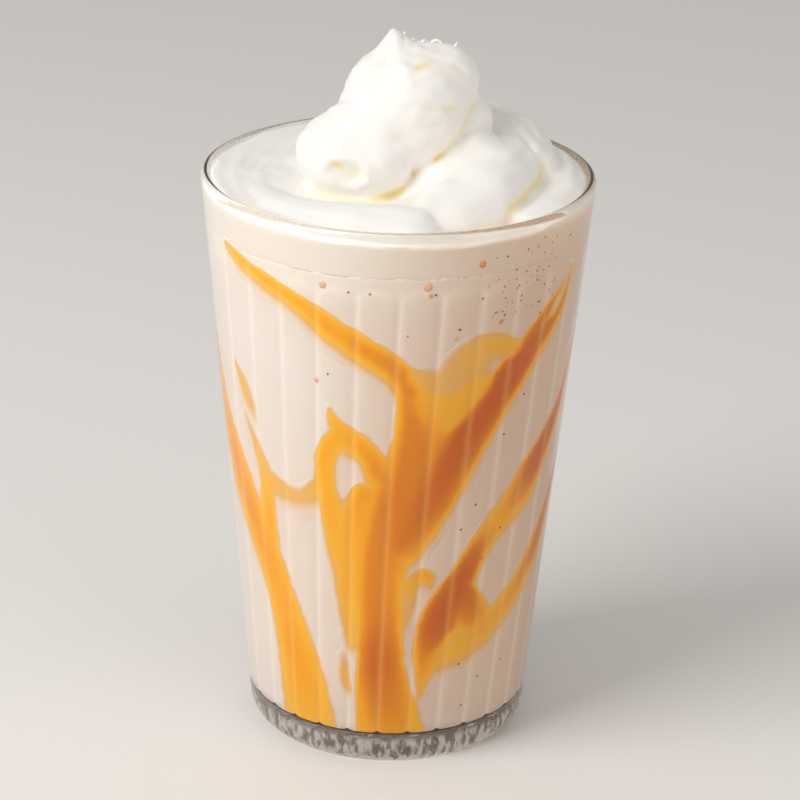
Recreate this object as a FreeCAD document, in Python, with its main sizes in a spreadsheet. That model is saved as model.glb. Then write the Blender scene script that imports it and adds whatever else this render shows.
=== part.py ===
import FreeCAD, Part

import math
import os

import Sketcher
from FreeCAD import Vector

# A banana milkshake in a tapered tumbler, topped with whipped cream.
#
# Frame: the origin is the middle of the foot, +Z is up and -Y is the front.  All sizes in mm.
# Three pieces: the glass, the drink that fills it, and the whipped cream that lies on the drink.

SIZES = {
    # The tumbler's outside.  The wall is a straight taper between its radius at the table
    # and its radius at the rim, and the heel rounds the two off.
    "glass_height": 140.0,
    "rim_radius": 46.2,
    "foot_radius": 33.3,
    "heel_round": 6.2,
    # The wall and the thick base.
    "wall_rim": 2.5,
    "wall_floor": 3.4,
    "base_thick": 9.0,
    "lip_flat": 0.3,
    # The underside: a flat ring to stand on, round a shallow hollow.
    "ring_inside": 22.0,
    "hollow_depth": 1.0,
    # The flutes: upright hollows in the inner wall with narrow ridges left between them.
    # They lean round the glass a little as they rise, and stop short of the rim.
    "flute_count": 28,
    "flute_depth_low": 0.7,
    "flute_depth_top": 0.9,
    "ridge_width": 0.4,
    "flute_drop": 13.0,
    "flute_phase": 3.0,
    "flute_turn": 5.0,
    # The levels of the fill, measured down from the rim.
    "drink_drop": 11.0,
    "cream_drop": 2.5,
    # The blanks that are trimmed to shape start this far inside the glass.
    "blank_overlap": 1.5,
    # The cream: a low bed, a rope that comes round it from the back, and a dollop with an ear
    # and a tip on top.  Each rise is a height above the cream's edge.
    "bed_rise": 3.5,
    "rope_path_radius": 28.0,
    "rope_half_width": 14.0,
    "rope_rise": 18.0,
    "rope_end_right": 180.0,
    "rope_end_left": 75.0,
    "dollop_right": 3.0,
    "dollop_front": 2.0,
    "dollop_radius": 17.0,
    "dollop_rise": 34.5,
    "ear_left": 15.0,
    "ear_front": 9.0,
    "ear_radius": 10.5,
    "ear_rise": 13.0,
    "tip_left": 2.5,
    "tip_radius": 5.0,
    "tip_rise": 38.5,
    "blend": 1.5,
    "grid_step": 2.5,
}

doc = FreeCAD.newDocument("milkshake")
sheet = doc.addObject("Spreadsheet::Sheet", "sizes")
for row, (name, value) in enumerate(SIZES.items(), start=1):
    sheet.set(f"A{row}", name)
    sheet.set(f"B{row}", str(value))
    sheet.setAlias(f"B{row}", name)
doc.recompute()


def size(name):
    return float(sheet.get(name))


def named(expression):
    """Write each size in an expression as a cell of the sheet."""
    words = sorted(SIZES, key=len, reverse=True)
    for index, word in enumerate(words):
        expression = expression.replace(word, f"@{index}@")
    for index, word in enumerate(words):
        expression = expression.replace(f"@{index}@", f"sizes.{word}")
    return expression


# ---------------------------------------------------------------------------------------------
# Measures that several pieces share.  Each is an expression on the named sizes, so that a change
# to one size carries every piece with it.

INNER_RIM = "(rim_radius - wall_rim)"
FLOOR_OUTSIDE = "(foot_radius + (rim_radius - foot_radius) * base_thick / glass_height)"
INNER_FLOOR = f"({FLOOR_OUTSIDE} - wall_floor)"
INNER_SLOPE = f"(({INNER_RIM} - {INNER_FLOOR}) / (glass_height - base_thick))"
DRINK_LEVEL = "(glass_height - drink_drop)"
FLUTE_TOP = "(glass_height - flute_drop)"


def inner_radius(level):
    """The plain inner wall's radius at a level."""
    return f"({INNER_FLOOR} + {INNER_SLOPE} * ({level} - base_thick))"


def plane(body, role):
    """One of a body's own origin planes or axes."""
    return next(item for item in body.Origin.OriginFeatures if item.Role == role)


def profile(body, name, corners):
    """A closed outline of straight lines in the XZ plane.  Each corner is (radius, level)."""
    sketch = body.newObject("Sketcher::SketchObject", name)
    sketch.AttachmentSupport = [(plane(body, "XZ_Plane"), "")]
    sketch.MapMode = "FlatFace"
    start_x = 1.0
    for index in range(len(corners)):
        here = Vector(start_x + math.cos(index), math.sin(index), 0)
        there = Vector(start_x + math.cos(index + 1), math.sin(index + 1), 0)
        sketch.addGeometry(Part.LineSegment(here, there), False)
    for index, (radius, level) in enumerate(corners):
        before = (index - 1) % len(corners)
        sketch.addConstraint(Sketcher.Constraint("Coincident", before, 2, index, 1))
        if radius == "0":
            sketch.addConstraint(Sketcher.Constraint("PointOnObject", index, 1, -2))
        else:
            across = sketch.addConstraint(Sketcher.Constraint("DistanceX", -1, 1, index, 1, 1.0))
            sketch.setExpression(f"Constraints[{across}]", named(radius))
        if level == "0":
            sketch.addConstraint(Sketcher.Constraint("PointOnObject", index, 1, -1))
        else:
            up = sketch.addConstraint(Sketcher.Constraint("DistanceY", -1, 1, index, 1, 1.0))
            sketch.setExpression(f"Constraints[{up}]", named(level))
    return sketch


def ring_edges(shape, radius, level):
    """The names of the round edges at a radius and a level."""
    names = []
    for index, edge in enumerate(shape.Edges, start=1):
        curve = edge.Curve
        if isinstance(curve, Part.Circle) and abs(curve.Radius - radius) < 1e-4:
            if abs(curve.Center.z - level) < 1e-4:
                names.append(f"Edge{index}")
    return names


def rounded(body, name, base, edges, radius):
    doc.recompute()
    fillet = body.newObject("PartDesign::Fillet", name)
    fillet.Base = (base, edges)
    fillet.setExpression("Radius", named(radius))
    doc.recompute()
    return fillet


# ---------------------------------------------------------------------------------------------
# The glass: a turned tumbler with a rounded heel and lip, then the flutes cut round its inside.

def make_glass():
    body = doc.addObject("PartDesign::Body", "glass")
    outline = profile(body, "glass_outline", [
        ("0", "hollow_depth"),
        ("ring_inside", "0"),
        ("foot_radius", "0"),
        ("rim_radius", "glass_height"),
        (INNER_RIM, "glass_height"),
        (INNER_FLOOR, "base_thick"),
        ("0", "base_thick"),
    ])
    turned = body.newObject("PartDesign::Revolution", "glass_turned")
    turned.Profile = outline
    turned.ReferenceAxis = (plane(body, "Z_Axis"), [""])
    turned.Angle = 360
    doc.recompute()

    heel_edges = ring_edges(turned.Shape, size("foot_radius"), 0)
    heel = rounded(body, "glass_heel", turned, heel_edges, "heel_round")
    rim = size("rim_radius")
    top = size("glass_height")
    lip_edges = ring_edges(heel.Shape, rim, top) + ring_edges(heel.Shape, rim - size("wall_rim"), top)
    rounded(body, "glass_lip", heel, lip_edges, "(wall_rim - lip_flat) / 2")

    add_flutes(body)
    return body


def flute_radius(level, depth):
    """The radius that cuts a hollow of this depth, as wide as the pitch less a ridge."""
    across = f"(2 * pi * {inner_radius(level)} / flute_count - ridge_width)"
    return f"(1 / (8 * {depth} / ({across} * {across}) + 1 / {inner_radius(level)}))"


def add_flutes(body):
    """One leaning cone cuts a flute, and a polar pattern repeats it round the glass."""
    low = flute_radius("base_thick", "flute_depth_low")
    high = flute_radius(FLUTE_TOP, "flute_depth_top")
    # The cutter's axis runs from a point over the floor to one near the rim, on a line that
    # leans outwards with the wall and sideways by the flutes' turn.
    axis_low = f"({inner_radius('base_thick')} + flute_depth_low - {low})"
    axis_high = f"({inner_radius(FLUTE_TOP)} + flute_depth_top - {high})"
    rise = f"({FLUTE_TOP} - base_thick)"
    turn = "(flute_turn * 1 deg)"
    outward = f"({axis_high} * cos({turn}) - {axis_low})"
    sideways = f"({axis_high} * sin({turn}))"
    length = f"sqrt({outward} * {outward} + {sideways} * {sideways} + {rise} * {rise})"
    lean = f"atan({outward} / {rise})"
    swing = f"asin({sideways} / {length})"
    # Raised so that the outer edge of the cutter's foot meets the floor.
    foot = f"(base_thick + {low} * sin({lean}))"
    phase = "(flute_phase * 1 deg)"

    flute = body.newObject("PartDesign::SubtractiveCone", "flute")
    flute.AttachmentSupport = [(plane(body, "XY_Plane"), "")]
    flute.MapMode = "FlatFace"
    flute.setExpression("Radius1", named(low))
    flute.setExpression("Radius2", named(high))
    flute.setExpression("Height", named(length))
    place = (f"placement(vector({axis_low} * cos({phase}); {axis_low} * sin({phase}); {foot});"
             f" rotation({phase}; {lean}; -{swing}))")
    flute.setExpression("AttachmentOffset", named(place))
    doc.recompute()

    pattern = body.newObject("PartDesign::PolarPattern", "flutes")
    pattern.Originals = [flute]
    pattern.Axis = (plane(body, "Z_Axis"), [""])
    pattern.Angle = 360
    pattern.setExpression("Occurrences", named("flute_count"))
    body.Tip = pattern
    doc.recompute()


# ---------------------------------------------------------------------------------------------
# The fill.  Each piece is cut from a cone that follows the inner wall.

def blank(name, low, high, overlap):
    """A solid cone between two levels, this far outside the plain inner wall."""
    cone = doc.addObject("Part::Cone", name)
    cone.setExpression("Radius1", named(f"{inner_radius(low)} + {overlap}"))
    cone.setExpression("Radius2", named(f"{inner_radius(high)} + {overlap}"))
    cone.setExpression("Height", named(f"{high} - {low}"))
    cone.setExpression("Placement.Base.z", named(low))
    return cone


def make_drink(glass):
    """The drink fills the flutes and the floor, so the glass itself trims its blank."""
    poured = blank("drink_blank", "(base_thick - blank_overlap)", DRINK_LEVEL, "blank_overlap")
    drink = doc.addObject("Part::Cut", "milkshake")
    drink.Base = poured
    drink.Tool = glass
    return drink


# How square the cream's hills are.  2 would make bell-shaped ones.
STEEPNESS = 5


def bump(distance, reach):
    """A hill with a flat top and steep sides: 1 in the middle, and a half at its reach."""
    return 0.5 ** (abs(distance / reach) ** STEEPNESS)


def cream_level(x, y):
    """The height of the cream's surface over a point of the glass."""
    edge = size("glass_height") - size("cream_drop")
    inside = size("rim_radius") - size("wall_rim")
    radius = math.hypot(x, y)

    rises = [size("bed_rise") * (1 - (radius / inside) ** 2)]

    # The rope is highest behind the dollop and sinks as it comes round: by the right side all
    # the way to the front, but only a short way down the left.
    end = size("rope_end_right") if x > 0 else size("rope_end_left")
    share = min(abs(math.degrees(math.atan2(x, y))) / end, 1.0)
    along = size("rope_rise") * (0.5 + 0.5 * math.cos(math.pi * share))
    rises.append(along * bump(radius - size("rope_path_radius"), size("rope_half_width")))

    dollop = math.hypot(x - size("dollop_right"), y + size("dollop_front"))
    rises.append(size("dollop_rise") * bump(dollop, size("dollop_radius")))
    ear = math.hypot(x + size("ear_left"), y + size("ear_front"))
    rises.append(size("ear_rise") * bump(ear, size("ear_radius")))
    tip = math.hypot(x + size("tip_left"), y + size("dollop_front"))
    rises.append(size("tip_rise") * bump(tip, size("tip_radius")))

    blend = size("blend")
    highest = max(rises)
    total = sum(math.exp((rise - highest) / blend) for rise in rises)
    return edge + highest + blend * math.log(total / len(rises))


def make_cream():
    """A heap under a smooth surface, trimmed by the cone of the inner wall."""
    reach = size("rim_radius")
    count = round(2 * reach / size("grid_step"))
    ticks = [-reach + 2 * reach * index / count for index in range(count + 1)]
    rows = [[Vector(x, y, cream_level(x, y)) for y in ticks] for x in ticks]
    surface = Part.BSplineSurface()
    surface.interpolate(rows)
    heap = doc.addObject("Part::Feature", "cream_heap")
    heap.Shape = surface.toShape().extrude(Vector(0, 0, -2 * size("drink_drop") - size("tip_rise")))

    low = DRINK_LEVEL
    wall = blank("cream_blank", low, "(glass_height + tip_rise)", "0")
    cream = doc.addObject("Part::Common", "whipped_cream")
    cream.Base = wall
    cream.Tool = heap
    return cream


# ---------------------------------------------------------------------------------------------
# Build, check and write.

glass = make_glass()
pieces = [glass, make_drink(glass), make_cream()]
doc.recompute()

for item in doc.Objects:
    if "Invalid" in item.State or "Error" in item.State:
        raise SystemExit(f"{item.Name} did not build: {item.State}")

solids = {}
for piece in pieces:
    shape = piece.Shape
    if shape.isNull() or not shape.isValid() or len(shape.Solids) != 1:
        raise SystemExit(f"{piece.Label} is not one valid solid")
    solids[piece.Label] = shape.Solids[0]

os.makedirs("parts", exist_ok=True)
for label, solid in solids.items():
    solid.exportStep(f"parts/{label}.step")
    box = solid.optimalBoundingBox(False)
    print(f"{label}: {solid.Volume / 1000:.1f} cm3, {len(solid.Faces)} faces,",
          f"x {box.XMin:.1f}..{box.XMax:.1f}, y {box.YMin:.1f}..{box.YMax:.1f},",
          f"z {box.ZMin:.1f}..{box.ZMax:.1f}")
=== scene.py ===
# %% [markdown]
# # A banana milkshake
#
# A tall fluted tumbler of banana milkshake, with caramel poured round the inside of the glass and
# whipped cream on top.  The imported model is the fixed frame: it says where the glass, the drink
# and the cream are.  This lesson gives them their real surfaces, one piece at a time.

# %% Load the frame
import math
import random

import bmesh
import bpy
import numpy as np
from mathutils import Matrix, Vector, noise


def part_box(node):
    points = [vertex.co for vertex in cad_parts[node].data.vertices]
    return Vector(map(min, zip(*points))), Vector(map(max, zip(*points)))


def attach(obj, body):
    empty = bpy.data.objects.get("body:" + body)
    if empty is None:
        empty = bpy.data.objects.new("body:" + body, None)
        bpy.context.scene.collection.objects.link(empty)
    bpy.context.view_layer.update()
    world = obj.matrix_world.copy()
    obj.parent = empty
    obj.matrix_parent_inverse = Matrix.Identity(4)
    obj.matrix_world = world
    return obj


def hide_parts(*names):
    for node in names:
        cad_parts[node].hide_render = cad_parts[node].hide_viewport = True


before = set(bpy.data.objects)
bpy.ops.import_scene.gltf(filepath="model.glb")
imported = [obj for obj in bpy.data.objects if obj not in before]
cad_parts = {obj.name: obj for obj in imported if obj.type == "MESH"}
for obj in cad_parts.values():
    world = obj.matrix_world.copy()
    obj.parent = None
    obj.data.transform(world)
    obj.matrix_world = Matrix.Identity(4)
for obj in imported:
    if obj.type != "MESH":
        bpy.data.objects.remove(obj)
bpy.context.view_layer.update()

# %% [markdown]
# ## Measures
#
# Small things are easier to model in millimetres, so every bmesh below is in millimetres and is
# scaled to metres once, when it becomes an object.  The glass's height, floor and fill come from
# the frame.  Its radii, its wall and the flutes' number, lean and top repeat the values that the
# glass was made with.  The flutes' depth and section and the lip's round are this lesson's own.

# %% Measures of the glass
MM = 0.001
GLASS_LOW, GLASS_HIGH = (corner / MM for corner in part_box("glass"))
DRINK_LOW, DRINK_HIGH = (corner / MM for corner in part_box("milkshake"))
CREAM_LOW, CREAM_HIGH = (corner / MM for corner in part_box("whipped_cream"))

HEIGHT = GLASS_HIGH.z
FLOOR = DRINK_LOW.z
FILL = DRINK_HIGH.z
RIM_RADIUS = 46.2
FOOT_RADIUS = 33.3
HEEL_ROUND = 6.2
WALL_RIM = 2.5
WALL_FLOOR = 3.4
RING_INSIDE = 22.0
HOLLOW_DEPTH = 1.0

FLUTES = 28
FLUTE_DEPTH_LOW = 0.3
FLUTE_DEPTH_TOP = 0.35
FLUTE_PHASE = 3.0
FLUTE_TURN = 5.0
FLUTE_DROP = 13.0
FLUTE_TOP = HEIGHT - FLUTE_DROP
PITCH = math.tau / FLUTES


def outer_radius(level):
    """The outside of the tapered wall."""
    return FOOT_RADIUS + (RIM_RADIUS - FOOT_RADIUS) * level / HEIGHT


INNER_FLOOR = outer_radius(FLOOR) - WALL_FLOOR
INNER_SLOPE = (RIM_RADIUS - WALL_RIM - INNER_FLOOR) / (HEIGHT - FLOOR)


def inner_radius(level):
    """The inside of the wall, at the ridges between the flutes."""
    return INNER_FLOOR + INNER_SLOPE * (level - FLOOR)


print("inner wall", round(INNER_FLOOR, 2), "to", round(inner_radius(HEIGHT), 2), "mm radius")
print("glass levels", round(GLASS_LOW.z, 2), "to", round(HEIGHT, 2), "mm")
print("cream levels", round(CREAM_LOW.z, 2), "to", round(CREAM_HIGH.z, 2), "mm")

# %% [markdown]
# ## Flutes
#
# A flute is an upright hollow in the inner wall.  One function says how deep it is at a place on
# the wall, and the glass, the drink and the caramel all use it, so they fit each other.  Across a
# flute the hollow is flat in the middle and turns up steeply at its two ridges.  At its top it
# runs out like a thumb print, which leaves a round arch.  Columns of points crowd towards the
# ridges, because that is where the shape turns.

# %% The flutes' shape
RIDGE_SHARE = 0.05
FLATNESS = 5
ARCH_HEIGHT = 2.0
ARCH_FADE = 3.0
SNAP = 0.72
RIDGE_GLOW = 0.09


def flute_turn(level):
    """How far the flutes have leaned round the glass at a level, in radians."""
    share = (level - FLOOR) / (FLUTE_TOP - FLOOR)
    return math.radians(FLUTE_PHASE + FLUTE_TURN * min(max(share, 0.0), 1.0))


def flute_depth(across, level):
    """The hollow's depth.  across is the distance from its middle, in pitches."""
    share = min(max((level - FLOOR) / (FLUTE_TOP - FLOOR), 0.0), 1.0)
    deepest = FLUTE_DEPTH_LOW + (FLUTE_DEPTH_TOP - FLUTE_DEPTH_LOW) * share
    arch = FLUTE_TOP - ARCH_HEIGHT * (2 * across) ** 2
    run_out = min(max((arch - level) / ARCH_FADE, 0.0), 1.0)
    hollow = 1 - abs(2 * across / (1 - RIDGE_SHARE)) ** FLATNESS
    return deepest * max(hollow, 0.0) * run_out * run_out * (3 - 2 * run_out)


def column(index, columns_per_flute):
    """A column's angle from a flute's middle, in pitches.  Columns crowd towards the ridges."""
    even = index / columns_per_flute - 0.5
    return even + SNAP / math.tau * math.sin(math.tau * (even + 0.5) + math.pi)


def ridge_line(across):
    """1 along the ridge between two flutes, fading to 0 beside it."""
    return math.exp(-(((0.5 - abs(across)) / RIDGE_GLOW) ** 2))


print("flutes", FLUTES, "from", FLUTE_DEPTH_LOW, "to", FLUTE_DEPTH_TOP, "mm deep")

# %% [markdown]
# ## From a profile to a turned piece
#
# `bmesh.ops.spin` turns a profile about the Z axis, as a lathe would.  The turned points are then
# moved round so that columns follow the leaning flutes, and pushed out where the wall is hollow.
# Each point also keeps how near it is to a ridge, as the attribute "ridge", which the materials use
# for a painted highlight along each ridge and for the scallops of the painted shade line.

# %% Lathe
COLUMNS = 14
WELD = 0.001
ON_AXIS = 0.01


def lathe(profile, columns_per_flute=COLUMNS):
    """Turn a profile of (radius, level) points into a closed skin."""
    bm = bmesh.new()
    verts = [bm.verts.new((radius, 0, level)) for radius, level in profile]
    edges = [bm.edges.new(pair) for pair in zip(verts, verts[1:])]
    bmesh.ops.spin(bm, geom=verts + edges, cent=(0, 0, 0), axis=(0, 0, 1), angle=math.tau,
                   steps=FLUTES * columns_per_flute, use_merge=True)
    bmesh.ops.remove_doubles(bm, verts=bm.verts, dist=WELD)
    return bm


def follow_flutes(bm, hollow_from, columns_per_flute=COLUMNS):
    """Lean every column with the flutes, and hollow the wall beyond a radius rule."""
    glow = bm.verts.layers.float.new("ridge")
    for vert in bm.verts:
        radius = math.hypot(vert.co.x, vert.co.y)
        if radius < ON_AXIS:
            continue
        turns = math.atan2(vert.co.y, vert.co.x) / PITCH
        flute = math.floor(turns + 0.5)
        index = round((turns - flute + 0.5) * columns_per_flute)
        across = column(index, columns_per_flute)
        angle = (flute + across) * PITCH + flute_turn(vert.co.z)
        hollow = hollow_from(radius, vert.co.z)
        radius += hollow * flute_depth(across, vert.co.z)
        fluted = min(max((FLUTE_TOP - vert.co.z) / ARCH_FADE, 0.0), 1.0)
        vert[glow] = hollow * fluted * ridge_line(across)
        vert.co.x = radius * math.cos(angle)
        vert.co.y = radius * math.sin(angle)


def to_object(bm, name, smooth=True):
    """Point the faces out, scale to metres and make the object."""
    bmesh.ops.recalc_face_normals(bm, faces=bm.faces)
    bmesh.ops.scale(bm, vec=(MM, MM, MM), verts=bm.verts)
    mesh = bpy.data.meshes.new(name)
    bm.to_mesh(mesh)
    bm.free()
    mesh.polygons.foreach_set("use_smooth", [smooth] * len(mesh.polygons))
    piece = bpy.data.objects.new(name, mesh)
    bpy.context.scene.collection.objects.link(piece)
    return piece


def evenly(start, end, step):
    """Values from start to end, no further apart than step, both ends in."""
    count = max(1, math.ceil(abs(end - start) / step))
    return [start + (end - start) * index / count for index in range(count + 1)]


# %% [markdown]
# ## The glass
#
# A pressed tumbler is one turned wall.  Its profile goes from the middle of the underside, round
# the heel, up the outside, over the lip, down the fluted inside and across the floor.  The heel
# and the lip are arcs.  Light bends at every surface, so the glass has a real inside and outside.

# %% Glass profile
FOOT_STEP = 0.9
HEEL_STEPS = 14
OUTSIDE_STEP = 7
LIP_STEPS = 12
BAND_STEP = 2.0
ARCH_STEP = 0.35
WALL_STEP = 2.5
PAST_ARCH = 0.5
HAIR = 0.01
ON_WALL = 0.05


def arc(centre, radius, start, end, steps):
    """Points on an arc in the profile's plane.  Angles are in degrees, 0 pointing outwards."""
    angles = [math.radians(angle) for angle in evenly(start, end, abs(end - start) / steps)]
    return [(centre[0] + radius * math.cos(a), centre[1] + radius * math.sin(a)) for a in angles]


def glass_profile():
    """The wall's outline, from the middle of the underside round to the middle of the floor."""
    lean = math.degrees(math.atan((RIM_RADIUS - FOOT_RADIUS) / HEIGHT))
    run = HEEL_ROUND * math.tan(math.radians((90 - lean) / 2))
    heel_x = FOOT_RADIUS - run
    points = [(radius, HOLLOW_DEPTH * (1 - radius / RING_INSIDE))
              for radius in evenly(0, RING_INSIDE, FOOT_STEP)]
    points += [(radius, 0) for radius in evenly(RING_INSIDE, heel_x, FOOT_STEP)[1:-1]]
    points += arc((heel_x, HEEL_ROUND), HEEL_ROUND, -90, -lean, HEEL_STEPS)
    low = points[-1][1]
    lip = WALL_RIM / 2
    points += [(outer_radius(z), z) for z in evenly(low, HEIGHT - lip, OUTSIDE_STEP)[1:-1]]
    lip_x = (outer_radius(HEIGHT - lip) + inner_radius(HEIGHT - lip)) / 2
    points += arc((lip_x, HEIGHT - lip), lip, -lean, 180 - lean, LIP_STEPS)
    start = points[-1][1]
    band = evenly(start, FLUTE_TOP + PAST_ARCH, BAND_STEP)[1:]
    arches = evenly(FLUTE_TOP + PAST_ARCH, FLUTE_TOP - ARCH_HEIGHT - ARCH_FADE, ARCH_STEP)[1:]
    wall = evenly(arches[-1], FLOOR, WALL_STEP)[1:]
    points += [(inner_radius(z), z) for z in band + arches + wall]
    points += [(radius, FLOOR) for radius in evenly(INNER_FLOOR, 0, WALL_STEP)[1:]]
    return points


def inside_wall(radius, level):
    """1 on the inner wall, where the flutes are, and 0 elsewhere."""
    touches = abs(radius - inner_radius(level)) < ON_WALL
    return 1.0 if level > FLOOR - HAIR and touches else 0.0


print("glass profile", len(glass_profile()), "points")


# %% [markdown]
# Under the foot the glass is pebbled where it left the mould.  Seen through the thick heel, that
# relief breaks up the light in the base.  It is real relief, made by moving points with noise.

# %% Make the glass
PEBBLE_DEPTH = 0.9
PEBBLES_PER_MM = 0.35
PEBBLE_RAISE = 0.25
FINE_PER_MM = 0.8
FINE_RAISE = 0.1
FINE_SHARE = 0.5
FINE_LAYER = 9
FLAT_EDGE = 3


def pebble(bm):
    """Raise the underside in small smooth pebbles, and leave the standing ring's edge flat."""
    for vert in bm.verts:
        radius = math.hypot(vert.co.x, vert.co.y)
        if vert.co.z < HOLLOW_DEPTH + HAIR and radius < FOOT_RADIUS - FLAT_EDGE:
            grain = noise.noise(Vector((vert.co.x, vert.co.y, 0)) * PEBBLES_PER_MM)
            fine = noise.noise(Vector((vert.co.x, vert.co.y, FINE_LAYER)) * FINE_PER_MM)
            rough = FINE_SHARE * max(fine + FINE_RAISE, 0)
            vert.co.z += PEBBLE_DEPTH * (max(grain + PEBBLE_RAISE, 0) + rough)


def make_glass():
    """The tumbler, turned, fluted inside and pebbled below."""
    bm = lathe(glass_profile())
    follow_flutes(bm, inside_wall)
    pebble(bm)
    return to_object(bm, "tumbler")


tumbler = make_glass()
print("tumbler", len(tumbler.data.polygons), "faces")

# %% [markdown]
# ## The drink
#
# The drink takes the inside's shape.  It reaches a hair into the wall, because two surfaces in the
# same place flicker, and a gap between them would show as a silvery film of air.

# %% Make the drink
INTO_WALL = 0.15
UNDERSIDE_STEP = 3.0
DRINK_ARCH_STEP = 0.5
DRINK_BAND_STEP = 1.0
DRINK_LID_STEP = 4.0


def drink_profile():
    """The drink's outline, from the middle of its underside round to the middle of its top."""
    underside = evenly(0, INNER_FLOOR + INTO_WALL, UNDERSIDE_STEP)
    points = [(radius, FLOOR - INTO_WALL) for radius in underside]
    wall = evenly(FLOOR, FLUTE_TOP - ARCH_HEIGHT - ARCH_FADE, WALL_STEP)
    wall += evenly(wall[-1], FLUTE_TOP + PAST_ARCH, DRINK_ARCH_STEP)[1:]
    wall += evenly(wall[-1], FILL, DRINK_BAND_STEP)[1:]
    points += [(inner_radius(z) + INTO_WALL, z) for z in wall]
    points += [(radius, FILL) for radius in evenly(points[-1][0], 0, DRINK_LID_STEP)[1:]]
    return points


def drink_wall(radius, level):
    """1 on the drink's side, where it fills the flutes, and 0 elsewhere."""
    edge = inner_radius(level) + INTO_WALL
    return 1.0 if level >= FLOOR and abs(radius - edge) < ON_WALL else 0.0


def make_drink():
    """The drink, turned like the glass and with the same flutes."""
    bm = lathe(drink_profile())
    follow_flutes(bm, drink_wall)
    return to_object(bm, "drink")


drink = make_drink()
print("drink", len(drink.data.polygons), "faces")
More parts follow.
